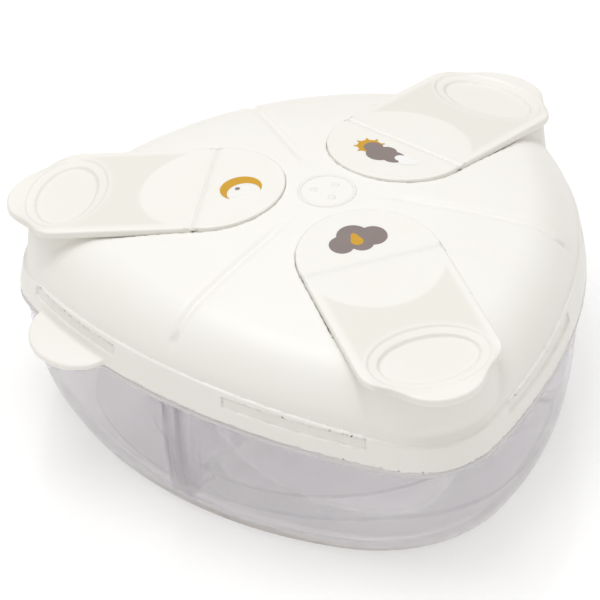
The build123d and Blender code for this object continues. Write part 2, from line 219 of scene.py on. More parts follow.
def cap_outline(u, v, grow=0.0):
    """Distance to the outline of a whole cap without its lip."""
    anchor = np.hypot(u - ANCHOR_CENTRE, v) - ANCHOR_RADIUS
    flap = tongue(u, v, HINGE_FACE, FLAP_STRAIGHT_END, FLAP_END_REACH, FLAP_HALF_WIDTH)
    return np.minimum(anchor, flap) - grow


def dome(x, y, z, u, v, inset):
    """The dome with its soft shoulder and corner hollows, shrunk by an inset."""
    ball = np.sqrt(x * x + y * y + (z - DOME_TOP + DOME_RADIUS) ** 2) - DOME_RADIUS
    body = round_and(triangle(u, v, SHOULDER) + inset, ball + inset, SHOULDER_RADIUS - inset)
    groove = np.hypot(np.hypot(x, y) - GROOVE_REACH, z - GROOVE_Z) - GROOVE_RADIUS - inset
    groove = np.maximum(groove, np.abs(v) - GROOVE_WIDTH - inset)
    return round_and(body, -groove, GROOVE_ROUND)


def rim_band(u, v, z, inset):
    """The drafted band under the crease."""
    return (triangle(u, v, BAND) - (BAND_Z - z) * BAND_DRAFT) * BAND_LEAN + inset


def over_rim(reach, z):
    """Height above the sphere that the lid's lower edge lies on."""
    return np.sqrt(reach**2 + (z - RIM_CENTRE) ** 2) - RIM_SPHERE


def lid_field(x, y, z):
    """The whole lid as one moulding."""
    u, v, turn = fold(x, y)
    reach = np.hypot(x, y)
    height = over_rim(reach, z)
    seat = above_cap(u, z) + SEAT_DEPTH

    # Valleys at the middles of the sides.
    across = reach * np.sin(np.radians(SECTOR / 2 - np.abs(turn)))
    valley = VALLEY_DEPTH * np.exp(-((across / VALLEY_WIDTH) ** 2))
    valley = valley * step(reach, *VALLEY_REACH) * step(z, *VALLEY_Z)
    shell = dome(x, y, z, u, v, 0) + valley
    shell = round_and(shell, rim_band(u, v, z, LEDGE), LEDGE_ROUND)

    tower_plan = np.minimum(
        tongue(u, v, HINGE_FACE, FLAP_STRAIGHT_END, TOWER_END_REACH, TOWER_HALF_WIDTH),
        np.hypot(u - ANCHOR_CENTRE, v) - TOWER_DISC_RADIUS,
    )
    tower_plan = tower_plan + TOWER_DRAFT * np.clip(seat, -TOWER_DRAFT_DEPTH, 0)
    shell = round_or(shell, round_and(tower_plan, seat, TOWER_ROUND), TOWER_ROOT_ROUND)
    under_crease = np.sqrt(reach**2 + (z - CREASE_CENTRE) ** 2) - CREASE_SPHERE
    shell = np.minimum(shell, round_and(rim_band(u, v, z, 0), under_crease, CREASE_ROUND))

    # The cap lies in a seat cut into the dome.
    shell = round_and(shell, -np.maximum(cap_outline(u, v, SEAT_SIDE_GAP), -seat), SEAT_ROUND)

    # Pockets in the rim band.
    middle = (POCKET_TURN[0] + POCKET_TURN[1]) / 2
    half = (POCKET_TURN[1] - POCKET_TURN[0]) / 2
    along = np.radians(np.abs(np.abs(turn) - middle) - half) * reach
    tall = np.maximum(height - POCKET_RISE[1], POCKET_RISE[0] - height)
    pocket = np.maximum(np.maximum(along, tall), -rim_band(u, v, z, POCKET_DEPTH))
    shell = round_and(shell, -pocket, POCKET_ROUND)

    # Pull tab.
    out = math.radians(TAB_OUT)
    dx, dy = x - TAB_PLACE[0], y - TAB_PLACE[1]
    a = dx * math.cos(out) + dy * math.sin(out)
    b = -dx * math.sin(out) + dy * math.cos(out)
    tab = np.maximum(oval(a, b, 0, (TAB_REACH, TAB_HALF_WIDTH)), -a)
    layer = np.abs(height - TAB_THICKNESS / 2) - TAB_THICKNESS / 2
    shell = round_or(shell, round_and(tab, layer, TAB_ROUND), TAB_ROOT_ROUND)
    shell = round_and(shell, -height, RIM_ROUND)

    # Hollow inside, with the seats' backing left in and the chutes opened into the towers.
    hollow = dome(x, y, z, u, v, LID_WALL) + valley
    hollow = np.maximum(hollow, rim_band(u, v, z, RIM_WALL))
    roof = seat + SEAT_THICKNESS
    backing = np.maximum(cap_outline(u, v), np.maximum(-roof, seat))
    chute = tongue(
        u, v, CHUTE_START, FLAP_STRAIGHT_END, TOWER_END_REACH - TOWER_WALL,
        TOWER_HALF_WIDTH - TOWER_WALL,
    )
    hollow = np.maximum(hollow, -backing)
    hollow = np.minimum(hollow, np.maximum(np.maximum(chute, roof), -CHUTE_OVERCUT - height))
    shell = np.maximum(shell, -hollow)
    hole = oval(u, v, DISH_U, (PLUG[0] + PLUG_CLEARANCE, PLUG[1] + PLUG_CLEARANCE))
    shell = np.maximum(shell, -np.maximum(hole, HOLE_FLOOR - z))
    studs = np.hypot(u - STUD_U, np.abs(v) - STUD_V) - STUD_RADIUS - STUD_CLEARANCE
    return np.maximum(shell, -np.maximum(studs, STUD_HOLE_FLOOR - z))


def flap_field(u, v, z):
    """One flap in its cap's own frame."""
    s, h = u - HINGE_U, z - HINGE_TOP
    level = s * math.sin(FLAP_SLOPE) + h * math.cos(FLAP_SLOPE)
    outline = tongue(u, v, HINGE_U, FLAP_STRAIGHT_END, FLAP_END_REACH, FLAP_HALF_WIDTH)
    lip = oval(u, v, LIP_CENTRE, (LIP_REACH, LIP_HALF_WIDTH))
    outline = round_or(outline, lip, NOTCH_ROUND)
    half = CAP_THICKNESS / 2
    slab = round_and(outline, np.abs(level + half) - half, FLAP_ROUND)
    edge = np.hypot(u - HINGE_U, z - HINGE_TOP + half) - half + HINGE_SLACK
    edge = round_and(edge, np.abs(v) - FLAP_HALF_WIDTH, HINGE_END_ROUND)
    flap = np.minimum(slab, edge)
    plug = oval(u, v, DISH_U, PLUG)
    bottom = -level - CAP_THICKNESS - PLUG_DEPTH
    stopper = round_and(np.maximum(plug, level + half), bottom, PLUG_ROUND)
    flap = np.minimum(flap, stopper)
    bore = np.maximum(plug + PLUG_WALL, level + CAP_THICKNESS)
    flap = np.maximum(flap, -bore)
    # Finger dish: a step down at each of two ovals, with a ledge between them.
    outer = oval(u, v, DISH_U, DISH_OUTER)
    inner = oval(u, v, DISH_U, DISH_INNER)
    depth = DISH_STEP * step(-outer, 0, 0.7) + LEDGE_FALL * step(-outer, 0.7, 2.6)
    depth = depth + DISH_SINK * step(-inner, -0.3, 0.6)
    return np.maximum(flap, np.where(outer < 0, level + depth, -FAR))


def anchor_field(u, v, z):
    """The fixed half of a cap, with its two snap studs, in its cap's own frame."""
    level = (z - anchor_height(u)) * math.cos(ANCHOR_SLOPE)
    outline = np.hypot(u - ANCHOR_CENTRE, v) - ANCHOR_RADIUS
    slab = round_and(outline, np.abs(level + SEAT_DEPTH / 2) - SEAT_DEPTH / 2, ANCHOR_ROUND)
    slab = round_and(slab, u - HINGE_FACE, HINGE_FACE_ROUND)
    stud = np.hypot(u - STUD_U, np.abs(v) - STUD_V)
    shank = np.maximum(stud - STUD_RADIUS, np.maximum(level + 1, -level - STUD_LENGTH))
    head = np.abs(level + STUD_HEAD_DEPTH) - STUD_HEAD_HEIGHT / 2
    head = np.maximum(stud - STUD_HEAD_RADIUS, head)
    return np.minimum(slab, np.minimum(shank, head))


# ---------------------------------------------------------------- meshes

def surface_nets(field, low, high, cell):
    """Closed quad mesh of where a field is zero: its points and its faces."""
    low = np.array(low, float)
    counts = np.ceil((np.array(high) - low) / cell).astype(int) + 1
    axes = [low[i] + cell * np.arange(counts[i]) for i in range(3)]
    values = np.empty(counts, np.float32)
    plane_y, plane_z = np.meshgrid(axes[1], axes[2], indexing="ij")
    slab = max(1, int(SLAB_POINTS / plane_y.size))
    for first in range(0, counts[0], slab):
        xs = axes[0][first:first + slab]
        grid_x = np.broadcast_to(xs[:, None, None], (len(xs), *plane_y.shape))
        values[first:first + slab] = field(grid_x, plane_y[None], plane_z[None])
    inside = values < 0
    corners = [(i, j, k) for i in (0, 1) for j in (0, 1) for k in (0, 1)]
    size = counts - 1

    def cut(array, offset):
        return array[
            offset[0]:offset[0] + size[0],
            offset[1]:offset[1] + size[1],
            offset[2]:offset[2] + size[2],
        ]

    filled = sum(cut(inside, c).astype(np.int8) for c in corners)
    active = (filled > 0) & (filled < 8)
    cells = np.argwhere(active)
    index = np.full(size, -1, np.int64)
    index[active] = np.arange(len(cells))
    total = np.zeros((len(cells), 3))
    crossings = np.zeros(len(cells))
    for start in corners:
        for axis in range(3):
            if start[axis]:
                continue
            end = list(start)
            end[axis] = 1
            a = values[tuple((cells + start).T)]
            b = values[tuple((cells + end).T)]
            crosses = (a < 0) != (b < 0)
            share = np.where(crosses, a / np.where(crosses, a - b, 1), 0)
            point = np.array(start, float) + np.zeros((len(cells), 3))
            point[:, axis] += share
            total += point * crosses[:, None]
            crossings += crosses
    points = low + cell * (cells + total / crossings[:, None])

    quads = []
    for axis in range(3):
        j, k = (axis + 1) % 3, (axis + 2) % 3
        side_j, side_k = np.eye(3, dtype=int)[j], np.eye(3, dtype=int)[k]
        shape = [slice(1, size[i]) for i in range(3)]
        shape[axis] = slice(0, size[axis])
        here = inside[tuple(shape)]
        shifted = list(shape)
        shifted[axis] = slice(1, size[axis] + 1)
        there = inside[tuple(shifted)]
        for outward in (True, False):
            edges = np.argwhere(here & ~there if outward else ~here & there)
            offset = np.array([1, 1, 1])
            offset[axis] = 0
            base = edges + offset
            ring = [base - side_j - side_k, base - side_k, base, base - side_j]
            face = np.stack([index[tuple(r.T)] for r in ring], 1)
            quads.append(face if outward else face[:, ::-1])
    quads = np.concatenate(quads)
    for _ in range(SETTLE_TIMES):
        points = settle(field, points, cell)
    return points, quads


def gradient(field, points, reach):
    """Value and slope of a field at points, from differences over a short reach."""
    value = field(*points.T)
    slopes = []
    for axis in range(3):
        shift = np.zeros(3)
        shift[axis] = reach
        slopes.append(field(*(points + shift).T) - field(*(points - shift).T))
    slope = np.stack(slopes, 1) / (2 * reach)
    return value, slope


def settle(field, points, cell):
    """Move points on to the field's zero, by no more than a fraction of a cell."""
    value, slope = gradient(field, points, SETTLE_REACH)
    steep = (slope**2).sum(1) + 1e-6
    move = -value / steep
    moved = slope * move[:, None]
    length = np.linalg.norm(moved, axis=1, keepdims=True)
    moved *= np.minimum(1, SETTLE_SHARE * cell / np.maximum(length, 1e-9))
    return points + moved


def mesh_object(name, points, faces, smooth=True):
    """Mesh object from points in millimetres."""
    mesh = bpy.data.meshes.new(name)
    mesh.from_pydata((np.asarray(points) * MM).tolist(), [], [list(map(int, f)) for f in faces])
    mesh.validate()
    mesh.update()
    if smooth:
        mesh.shade_smooth()
    piece = bpy.data.objects.new(name, mesh)
    bpy.context.collection.objects.link(piece)
    return piece


def thin_out(piece, most):
    """Reduce a mesh to at most so many triangles, where its surface is flattest."""
    triangles = sum(len(p.vertices) - 2 for p in piece.data.polygons)
    if triangles <= most:
        return
    modifier = piece.modifiers.new("thin_out", "DECIMATE")
    modifier.ratio = most / triangles
    apply_modifiers(piece)


def apply_modifiers(piece):
    """Replace a piece's mesh by what its modifiers make of it."""
    view = bpy.context.evaluated_depsgraph_get()
    mesh = bpy.data.meshes.new_from_object(piece.evaluated_get(view))
    piece.modifiers.clear()
    piece.data = mesh


def field_normals(piece, field):
    """Shade a mesh with its field's own normals."""
    mesh = piece.data
    points = np.empty(len(mesh.vertices) * 3)
    mesh.vertices.foreach_get("co", points)
    points = points.reshape(-1, 3) / MM
    _, slope = gradient(field, points, NORMAL_REACH)
    slope /= np.linalg.norm(slope, axis=1, keepdims=True) + 1e-9
    mesh.shade_smooth()
    mesh.normals_split_custom_set_from_vertices(slope.tolist())


def turned(points, degrees):
    """Points turned about the object's axis."""
    c, s = math.cos(math.radians(degrees)), math.sin(math.radians(degrees))
    return np.asarray(points) @ np.array([[c, s, 0], [-s, c, 0], [0, 0, 1]])


# ---------------------------------------------------------------- materials

SOFT = {"Subsurface_Weight": 0.12, "Subsurface_Scale": 0.002, "Subsurface_Radius": (1, 1, 1)}
INK_GLOSS, INK_GRAIN, INK_BUMP = (0.4, 0.55), 1500, 0.1
CLOUD = 12  # how much coarser the cloudy colour is than the skin
SKIN_RELIEF = 0.0002  # metres
EDGE_BLEND = 0.35


def mixed(tree, share, first, second):
    """Mix of two colours. Each is a plain colour, or an output of another node."""
    mix = tree.nodes.new("ShaderNodeMix")
    mix.data_type = "RGBA"
    tree.links.new(share, mix.inputs[0])
    colours = [socket for socket in mix.inputs if socket.type == "RGBA"]
    for socket, colour in zip(colours, (first, second)):
        if isinstance(colour, tuple):
            socket.default_value = (*colour, 1)
        else:
            tree.links.new(colour, socket)
    return [socket for socket in mix.outputs if socket.type == "RGBA"][0]


def tint(plastic, share, colour):
    """Mix another colour into a material's own."""
    base = plastic.node_tree.nodes["Principled BSDF"].inputs["Base Color"]
    own = base.links[0].from_socket
    plastic.node_tree.links.new(mixed(plastic.node_tree, share, own, colour), base)


def material(name, colour, darker, roughness, grain, bump, **sockets):
    """Moulded plastic or ink: two close colours, uneven gloss and a fine skin, all from noise."""
    made = bpy.data.materials.new(name)
    made.use_nodes = True
    nodes, links = made.node_tree.nodes, made.node_tree.links
    shader = nodes["Principled BSDF"]
    place = nodes.new("ShaderNodeTexCoord")

    def noise(scale, detail):
        made_noise = nodes.new("ShaderNodeTexNoise")
        made_noise.inputs["Scale"].default_value = scale
        made_noise.inputs["Detail"].default_value = detail
        links.new(place.outputs["Object"], made_noise.inputs["Vector"])
        return made_noise.outputs["Fac"]

    cloudy, skin = noise(grain / CLOUD, 3), noise(grain, 4)
    blend = mixed(made.node_tree, cloudy, colour, darker)
    links.new(blend, shader.inputs["Base Color"])
    gloss = nodes.new("ShaderNodeMapRange")
    gloss.inputs["To Min"].default_value, gloss.inputs["To Max"].default_value = roughness
    links.new(skin, gloss.inputs["Value"])
    links.new(gloss.outputs["Result"], shader.inputs["Roughness"])
    relief = nodes.new("ShaderNodeBump")
    relief.inputs["Strength"].default_value = bump
    relief.inputs["Distance"].default_value = SKIN_RELIEF
    links.new(skin, relief.inputs["Height"])
    links.new(relief.outputs["Normal"], shader.inputs["Normal"])
    for socket, value in sockets.items():
        shader.inputs[socket.replace("_", " ")].default_value = value
    return made


def edge_tint(plastic, face_alpha, edge_alpha, edge_colour):
    """Clear plastic looks denser and darker where its wall is seen edge-on."""
    nodes, links = plastic.node_tree.nodes, plastic.node_tree.links
    facing = nodes.new("ShaderNodeLayerWeight")
    facing.inputs["Blend"].default_value = EDGE_BLEND
    density = nodes.new("ShaderNodeMapRange")
    density.inputs["To Min"].default_value = face_alpha
    density.inputs["To Max"].default_value = edge_alpha
    links.new(facing.outputs["Facing"], density.inputs["Value"])
    links.new(density.outputs["Result"], nodes["Principled BSDF"].inputs["Alpha"])
    tint(plastic, facing.outputs["Facing"], edge_colour)


def painted_shade_by(plastic, attribute, shade):
    """Painted shade on thin plastic where nothing pale lies under it, as a mesh attribute says."""
    under = plastic.node_tree.nodes.new("ShaderNodeAttribute")
    under.attribute_name = attribute
    tint(plastic, under.outputs["Fac"], shade)


def cap_plastic(name):
    """The caps' plastic, for their fixed halves and for their flaps."""
    return material(
        name, (0.91, 0.905, 0.865), (0.885, 0.875, 0.825), (0.24, 0.38), 1000, 0.05, **SOFT
    )


ivory = material(
    "ivory_lid", (0.92, 0.912, 0.88), (0.9, 0.885, 0.84), (0.3, 0.44), 900, 0.06, **SOFT
)
cap_ivory = cap_plastic("ivory_cap")
flap_ivory = cap_plastic("ivory_flap")
# Flaps get painted shade where the hollow tower, not pale backing, lies under them.
painted_shade_by(flap_ivory, "open_under", (0.83, 0.815, 0.76))

clear = material(
    "clear_bowl", (0.99, 0.96, 0.99), (0.965, 0.935, 0.965), (0.02, 0.07), 500, 0.02,
    Transmission_Weight=1.0, IOR=1.3,
)
edge_tint(clear, 0.2, 0.97, (0.72, 0.67, 0.75))
clear_divider = material(
    "clear_divider", (0.99, 0.975, 1.0), (0.965, 0.95, 0.98), (0.04, 0.12), 600, 0.03,
    Transmission_Weight=1.0, IOR=1.25,
)
edge_tint(clear_divider, 0.2, 0.95, (0.74, 0.69, 0.76))
# Pale, less clear plastic for the flange: a painted highlight for the light line along the edge-on
# clear flange.
clear_rim = material(
    "clear_rim", (0.93, 0.92, 0.935), (0.9, 0.885, 0.905), (0.12, 0.22), 500, 0.02,
    Transmission_Weight=0.3, IOR=1.4, Alpha=0.9,
)

INKS = {
    ink: material(f"print_{ink}", colour, darker, INK_GLOSS, INK_GRAIN, INK_BUMP)
    for ink, colour, darker in (
        ("ochre", (0.66, 0.36, 0.015), (0.6, 0.32, 0.01)),
        ("grey", (0.27, 0.22, 0.21), (0.23, 0.185, 0.175)),
        ("white", (0.93, 0.93, 0.93), (0.88, 0.88, 0.88)),
    )
}


# ---------------------------------------------------------------- pieces

def make_lid():
    points, quads = surface_nets(lid_field, *LID_BOX, LID_CELL)
    lid = mesh_object("lid", points, quads)
    thin_out(lid, LID_TRIANGLES)
    field_normals(lid, lid_field)
    lid.data.materials.append(ivory)
    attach(lid, "lid")
    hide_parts("lid_shell")


def open_under(points):
    """Share of painted shade: 1 where only the hollow tower is under a flap, less at its dish, 0
    over its seat.
    """
    u, v = points[:, 0], points[:, 1]
    past_disc = step(np.hypot(u - ANCHOR_CENTRE, v) - ANCHOR_RADIUS, -0.2, 0.9)
    inside = step(TOWER_HALF_WIDTH - np.abs(v), -0.3, 1.5)
    off_dish = step(oval(u, v, DISH_U, DISH_OUTER), -0.5, 1.5)
    before_tip = step(UNDER_END - u, 0, UNDER_FADE)
    return past_disc * inside * (UNDER_DISH + (1 - UNDER_DISH) * off_dish) * before_tip


def make_caps():
    flap_points, flap_quads = surface_nets(flap_field, *FLAP_BOX, CAP_CELL)
    anchor_points, anchor_quads = surface_nets(anchor_field, *ANCHOR_BOX, CAP_CELL)
    for name, direction in CORNERS.items():
        for part, points, quads, field, body in (
            ("flap", flap_points, flap_quads, flap_field, f"flap_{name}"),
            ("anchor", anchor_points, anchor_quads, anchor_field, "lid"),
        ):
            piece = mesh_object(f"cap_{part}_{name}_skin", points, quads)
            field_normals(piece, field)
            normals = np.empty(len(piece.data.loops) * 3, np.float32)
            piece.data.corner_normals.foreach_get("vector", normals)
            loops = turned(normals.reshape(-1, 3), direction)
            flat = (turned(points, direction) * MM).astype(np.float32).ravel()
            piece.data.vertices.foreach_set("co", flat)
            piece.data.normals_split_custom_set(loops.tolist())
            piece.data.materials.append(flap_ivory if part == "flap" else cap_ivory)
            if part == "flap":
                # Each point's share of the painted shade.
                under = piece.data.attributes.new("open_under", "FLOAT", "POINT")
                under.data.foreach_set("value", open_under(points).astype(np.float32))
            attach(piece, body)
            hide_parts(f"cap_{part}_{name}")


def outline_reach(degrees, sizes):
    """Reach of a rounded triangle's outline in directions; its sizes may differ by direction."""
    centre, shift, side_radius = triangle_arcs(sizes)
    turn = np.abs((degrees - CORNERS["front"] + SECTOR / 2) % SECTOR - SECTOR / 2)
    t = np.radians(turn)
    root = np.maximum(sizes[2] ** 2 - (centre * np.sin(t)) ** 2, 0)
    corner = centre * np.cos(t) + np.sqrt(root)
    away = np.radians(SECTOR / 2) - t
    side = -shift * np.cos(away) + np.sqrt(side_radius**2 - (shift * np.sin(away)) ** 2)
    tangent = np.arctan2(shift * math.sqrt(0.75), centre + shift * 0.5)
    touch = np.arctan2(sizes[2] * np.sin(tangent), centre + sizes[2] * np.cos(tangent))
    return np.where(t < touch, corner, side)


def lathe(name, turn, rings):
    """Closed surface through rings of (reach, height), with a flat fan at each end."""
    count, around = len(turn), np.radians(turn)
    points = [
        np.stack([reach * np.cos(around), reach * np.sin(around), height + 0 * reach], 1)
        for reach, height in rings
    ]
    faces = []
    for ring in range(len(rings) - 1):
        low, high = ring * count, (ring + 1) * count
        for i in range(count):
            j = (i + 1) % count
            faces.append((low + i, low + j, high + j, high + i))
    last = (len(rings) - 1) * count
    faces.append(tuple(range(count - 1, -1, -1)))
    faces.append(tuple(last + i for i in range(count)))
    return mesh_object(name, np.concatenate(points), faces)


def wall_reach(turn, height, inset, floor):
    """Reach of the bowl's rounded wall at a height, less an inset, drawn in down to a floor."""
    sunk = np.clip((BOWL_EQUATOR - height) / (BOWL_EQUATOR - floor), 0, 1)
    angle = np.arcsin(sunk ** (1 / SINK_POWER))
    drawn = 1 - np.cos(angle) ** DRAW_IN_POWER
    return outline_reach(turn, [a + (b - a) * drawn - inset for a, b in zip(BOWL_RIM, BOWL_BASE)])


def rim_ring(turn, offset, rise):
    """Ring on the rim band's slope, at a distance above the lid's lower edge."""
    reach = outline_reach(turn, BAND)
    for _ in range(4):
        height = RIM_CENTRE + np.sqrt((RIM_SPHERE + rise) ** 2 - reach**2)
        growth = offset + (BAND_Z - height) * BAND_DRAFT
        reach = outline_reach(turn, [size + growth for size in BAND])
    return reach, height


def make_bowl():
    turn = np.arange(BOWL_SEGMENTS) * 360.0 / BOWL_SEGMENTS
    under = -RIM_GAP - FLANGE_THICKNESS
    top = rim_ring(turn, WALL_TOP_OFFSET, under - WALL_TOP_GAP)[1]
    # Heights as shares of the wall's, closest together at the floor, where the wall curves most.
    levels = np.sin(np.linspace(0, math.pi / 2, BOWL_RINGS)) ** LEVEL_POWER
    levels = 1 - levels[::-1]
    outer = [(wall_reach(turn, top * t, 0, 0), top * t) for t in levels]
    lip, neck = -FLANGE_INSET, NECK_OFFSET - NECK_WALL
    rim = [rim_ring(turn, offset, rise) for offset, rise in (
        (lip - FLANGE_BEVEL, under),
        (lip, under + FLANGE_BEVEL),
        (lip, -RIM_GAP - FLANGE_BEVEL),
        (lip - FLANGE_BEVEL, -RIM_GAP),
        (NECK_OFFSET, -RIM_GAP),
        (NECK_OFFSET, NECK_RISE - NECK_BEVEL),
        (NECK_OFFSET - NECK_BEVEL, NECK_RISE),
        (neck + NECK_BEVEL, NECK_RISE),
        (neck, NECK_RISE - NECK_BEVEL),
        (neck, under),
    )]
    inside = top - INSIDE_DROP
    inner = [BOWL_FLOOR + (inside - BOWL_FLOOR) * t for t in levels]
    inner = [(wall_reach(turn, z, BOWL_WALL, BOWL_FLOOR), z) for z in inner]
    bowl = lathe("bowl", turn, outer + rim + inner[::-1])
    bowl.data.materials.append(clear)
    bowl.data.materials.append(clear_rim)
    # The flange is the strips from the wall's top ring to the foot of the neck; they get the pale
    # rim plastic, a painted highlight.
    for face in range((len(outer) - 1) * len(turn), (len(outer) + 4) * len(turn)):
        bowl.data.polygons[face].material_index = 1
    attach(bowl, "bowl")
    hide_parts("base_bowl")


def make_guides():
    """Pairs of upright ribs inside the bowl's wall that hold the divider."""
    heights = np.linspace(GUIDE_LOW, GUIDE_TOP, GUIDE_RINGS)
    side = np.array([CORNERS["front"] + SECTOR / 2])
    reach = [float(wall_reach(side, np.array([z]), BOWL_WALL, BOWL_FLOOR)[0]) for z in heights]
    half, shoulder = GUIDE_THICKNESS / 2, GUIDE_INNER + GUIDE_BEVEL
    points, faces = [], []
    for direction in CORNERS.values():
        for v in (-GUIDE_V, GUIDE_V):
            first = len(points)
            for z, outer in zip(heights, reach):
                root = outer + GUIDE_ROOT
                for u, w in (
                    (shoulder, -half), (root, -half), (root, half), (shoulder, half),
                    (GUIDE_INNER, half - GUIDE_BEVEL), (GUIDE_INNER, GUIDE_BEVEL - half),
                ):
                    points.append(turned([(u, v + w, z)], direction + SECTOR / 2)[0])
            for level in range(len(heights) - 1):
                a = first + level * GUIDE_SIDES
                b = a + GUIDE_SIDES
                for i in range(GUIDE_SIDES):
                    j = (i + 1) % GUIDE_SIDES
                    faces.append((a + i, a + j, b + j, b + i))
            last = first + (len(heights) - 1) * GUIDE_SIDES
            faces.append(tuple(first + i for i in range(GUIDE_SIDES - 1, -1, -1)))
            faces.append(tuple(last + i for i in range(GUIDE_SIDES)))
    guides = mesh_object("bowl_guides", points, faces, smooth=False)
    guides.data.materials.append(clear)
    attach(guides, "bowl")


def make_webs():
    """Living hinges: thin webs that join each flap to its fixed half."""
    half_width = FLAP_HALF_WIDTH - WEB_SIDE_GAP
    across = np.linspace(-half_width, half_width, WEB_ROWS)
    along = np.linspace(-WEB_REACH, WEB_REACH, WEB_STEPS)
    section = []
    for side in (1, -1):
        for s in along[::side]:
            slope = ANCHOR_SLOPE if s < 0 else FLAP_SLOPE
            top = HINGE_TOP - s * math.tan(slope) + WEB_RISE
            groove = WEB_GROOVE * math.exp(-((s / WEB_GROOVE_WIDTH) ** 2))
            section.append((WEB_CENTRE_U + s, top - groove - (0 if side > 0 else WEB_THICKNESS)))
    count = len(section)
    flat = [(u, v, z) for v in across for u, z in section]
    faces = []
    for row in range(len(across) - 1):
        for i in range(count):
            j = (i + 1) % count
            a, b = row * count, (row + 1) * count
            faces.append((a + i, b + i, b + j, a + j))
    last = (len(across) - 1) * count
    faces.append(tuple(range(count)))
    faces.append(tuple(last + i for i in range(count - 1, -1, -1)))
    for name, direction in CORNERS.items():
        web = mesh_object(f"hinge_web_{name}", turned(flat, direction), faces)
        web.data.materials.append(cap_ivory)
        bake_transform(web)


# ---------------------------------------------------------------- prints

def blob(circles, centre=(0, 0), count=96):
    """Outline round a union of circles (across, up, radius), seen from its centre."""
    outline = []
    for i in range(count):
        angle = 2 * math.pi * i / count
        c, s = math.cos(angle), math.sin(angle)
        far = 0.0
        for x, y, radius in circles:
            along = (x - centre[0]) * c + (y - centre[1]) * s
            off = (x - centre[0]) ** 2 + (y - centre[1]) ** 2 - along**2
            if off < radius**2:
                far = max(far, along + math.sqrt(radius**2 - off))
        outline.append((centre[0] + far * c, centre[1] + far * s))
    return outline


def disc(x, y, radius):
    return blob([(x, y, radius)], (x, y), 32)


def sun(x, y, radius, rays):
    """Disc with short rounded rays."""
    outline = []
    for i in range(144):
        angle = 2 * math.pi * i / 144
        r = radius * (1 + 0.32 * max(0.0, math.cos(rays * angle)) ** 2)
        outline.append((x + r * math.cos(angle), y + r * math.sin(angle)))
    return outline


def crescent(x, y, radius, tilt):
    """Moon between two arcs."""
    outline = []
    for i in range(41):
        angle = math.radians(50 + 260 * i / 40)
        outline.append((radius * math.cos(angle), radius * math.sin(angle)))
    start, end = outline[-1], outline[0]
    inner = math.hypot(*start) * 0.8
    shift = start[0] - math.sqrt(max(inner**2 - start[1] ** 2, 0.0))
    first = math.atan2(start[1], start[0] - shift)
    for i in range(1, 40):
        angle = first - (2 * math.pi + 2 * first) * i / 40
        outline.append((shift + inner * math.cos(angle), inner * math.sin(angle)))
    c, s = math.cos(tilt), math.sin(tilt)
    return [(x + a * c - b * s, y + a * s + b * c) for a, b in outline]


def drop(x, y, radius):
    """Drop with its point upward."""
    outline = []
    for i in range(48):
        angle = 2 * math.pi * i / 48
        r = radius * (1 + 0.9 * max(0.0, math.sin(angle)) ** 9)
        outline.append((x + r * math.cos(angle), y + r * math.sin(angle)))
    return outline


def make_print(name, corner, ink, outline, layer=0):
    """Thin ink inlay on a cap's fixed half. Outline points are (across, towards the middle)."""
    sides = len(outline)
    points = []
    for rise in (-PRINT_SINK, PRINT_RISE + PRINT_LAYER * layer):
        for across, inward in outline:
            u = PRINT_U - inward
            points.append((u, across, anchor_height(u) + rise))
    faces = [(i, (i + 1) % sides, sides + (i + 1) % sides, sides + i) for i in range(sides)]
    faces += [tuple(range(sides - 1, -1, -1)), tuple(range(sides, 2 * sides))]
    piece = mesh_object(name, turned(points, CORNERS[corner]), faces, smooth=False)
    piece.data.materials.append(INKS[ink])
    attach(piece, "lid")


def make_prints():
    cloud = [(-4.7, -0.8, 3.0), (-1.0, 1.2, 4.0), (3.5, 0.0, 3.3), (0, -1.4, 2.9)]
    make_print("print_cloud_front", "front", "grey", blob(cloud))
    make_print("print_drop_front", "front", "ochre", drop(-0.8, -0.6, 1.5), 1)
    make_print("print_moon_left", "left", "ochre", crescent(0.6, 0.2, 5.0, 0.5))
    for index, (x, y, r) in enumerate(((2.6, 2.0, 0.7), (0.8, -0.6, 0.6), (3.6, -1.2, 0.8))):
        make_print(f"print_dot_left_{index}", "left", ("white", "grey")[index % 2], disc(x, y, r))
    make_print("print_sun_right", "right", "ochre", sun(4.6, -1.4, 3.0, 9))
    small = [(x * -0.8 - 0.2, y * 0.8 - 0.9, r * 0.8) for x, y, r in cloud]
    make_print("print_cloud_right", "right", "grey", blob(small, (-0.2, -0.9)), 1)
    pale = [(x * 0.42 - 6.0, y * 0.42 - 1.6, r * 0.42) for x, y, r in cloud]
    make_print("print_pale_right", "right", "white", blob(pale, (-6.0, -1.6)), 2)


